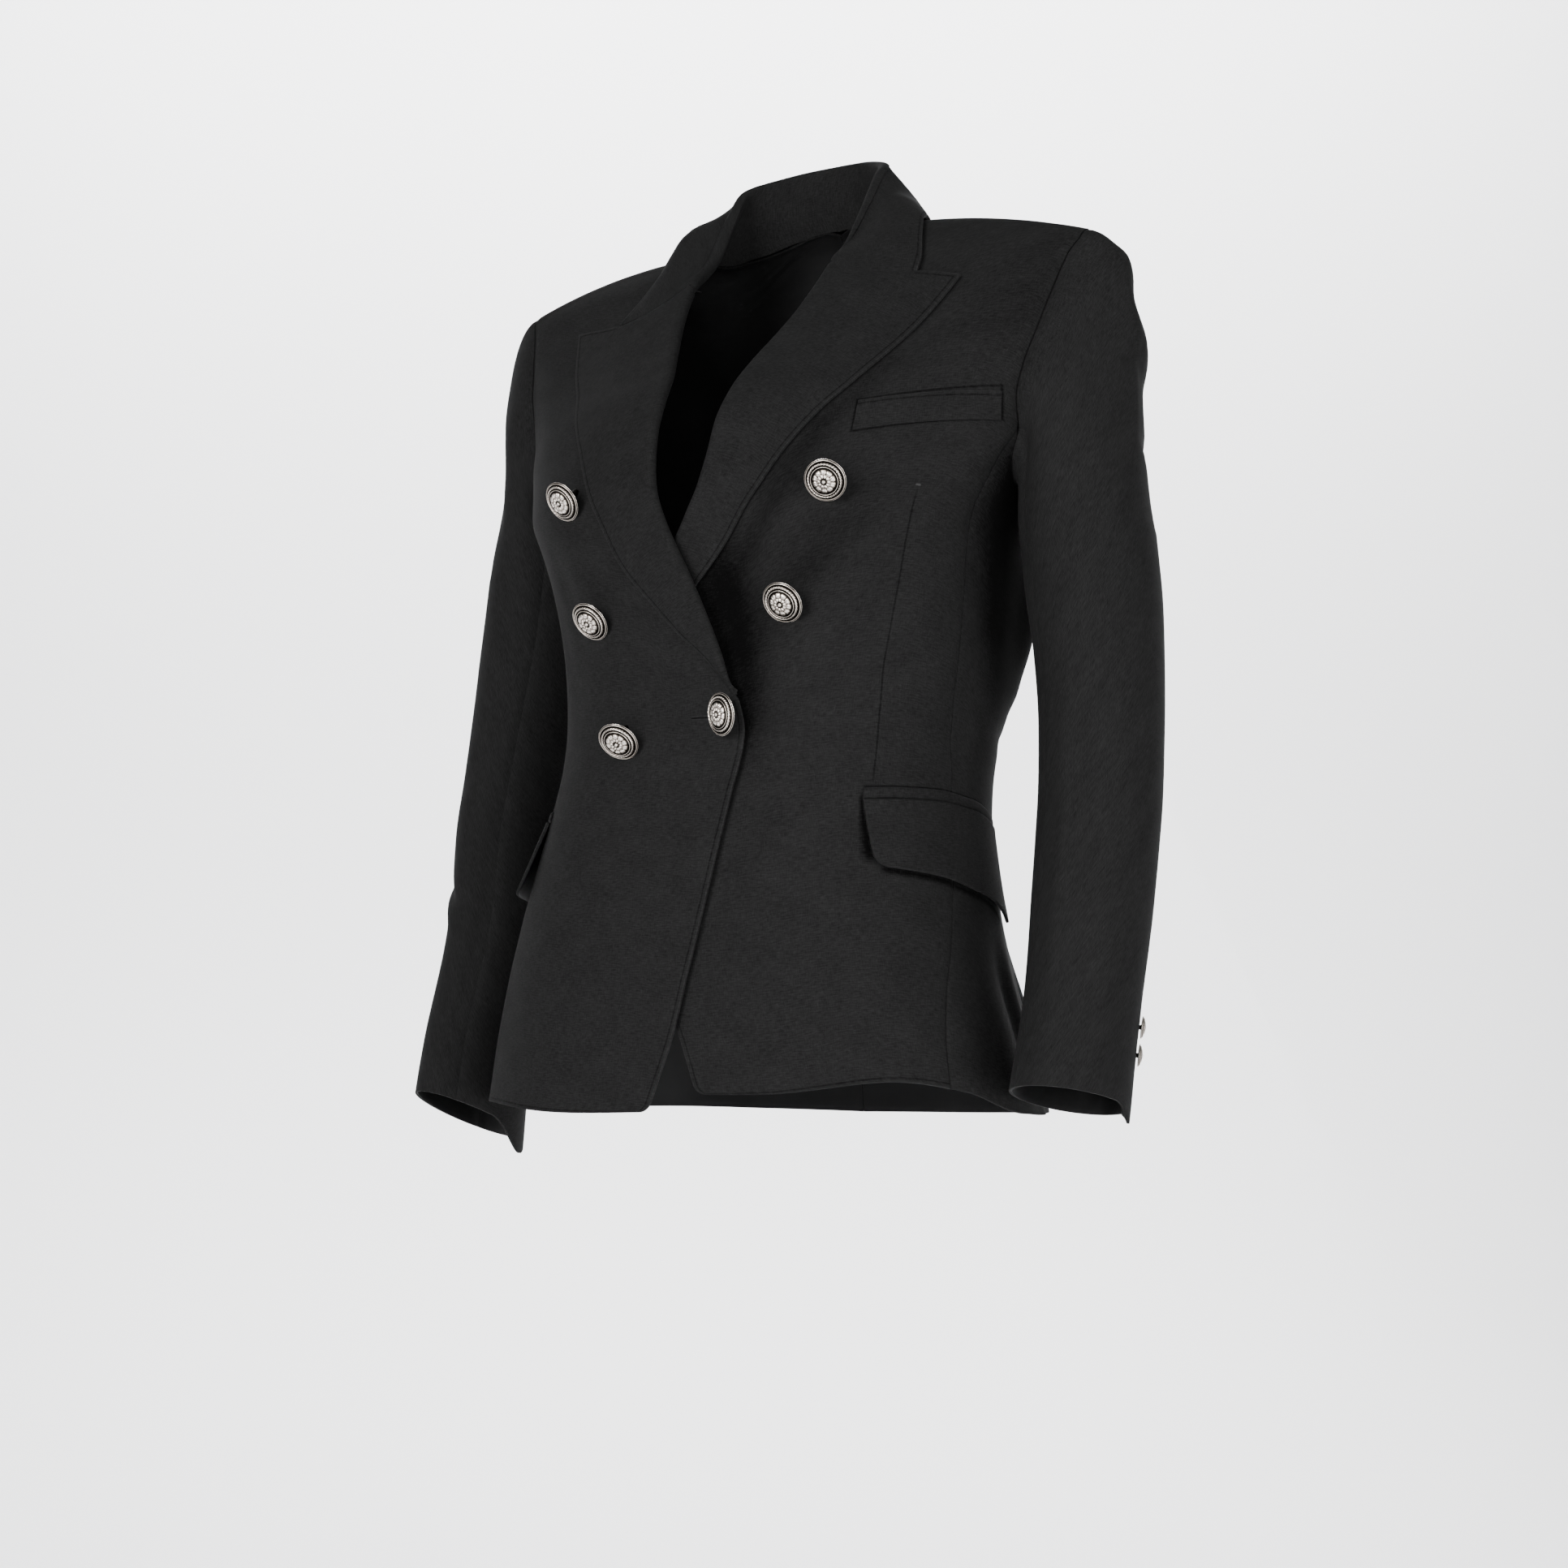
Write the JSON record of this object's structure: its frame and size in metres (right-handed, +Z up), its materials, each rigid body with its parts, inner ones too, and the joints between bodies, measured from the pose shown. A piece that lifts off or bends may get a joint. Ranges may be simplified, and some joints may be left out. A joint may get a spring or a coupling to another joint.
{
  "type": "fitted jacket",
  "caption": "Fitted double-breasted jacket with peak lapels, flap pockets, a breast welt and domed metal buttons, in its worn form.",
  "frame": {"origin": "between the two points where the shoulder seams meet the neck, at their height, where the wearer's shoulders carry the jacket", "axes": "+Z up, -Y to the wearer's front, +X to the wearer's left"},
  "size_m": [0.5385, 0.2805, 0.6753],
  "materials": {
    "black_wool": "matt fine worsted, pressed",
    "antique_silver": "satin, darkened in its hollows"
  },
  "bodies": {
    "root": {"front_left": "black_wool", "front_right": "black_wool", "side_panel_left": "black_wool", "side_panel_right": "black_wool", "back_left": "black_wool", "back_right": "black_wool", "lapel_left": "black_wool", "lapel_right": "black_wool", "upper_sleeve_left": "black_wool", "upper_sleeve_right": "black_wool", "under_sleeve_left": "black_wool", "under_sleeve_right": "black_wool", "pocket_jet_left": "black_wool", "pocket_jet_right": "black_wool", "pocket_flap_left": "black_wool", "pocket_flap_right": "black_wool", "collar": "black_wool", "chest_welt": "black_wool", "button_right_top": "antique_silver", "button_right_middle": "antique_silver", "button_right_low": "antique_silver", "button_left_top": "antique_silver", "button_left_middle": "antique_silver", "button_edge": "antique_silver", "cuff_button_left_upper": "antique_silver", "cuff_button_left_lower": "antique_silver", "cuff_button_right_upper": "antique_silver", "cuff_button_right_lower": "antique_silver"}
  },
  "joints": []
}
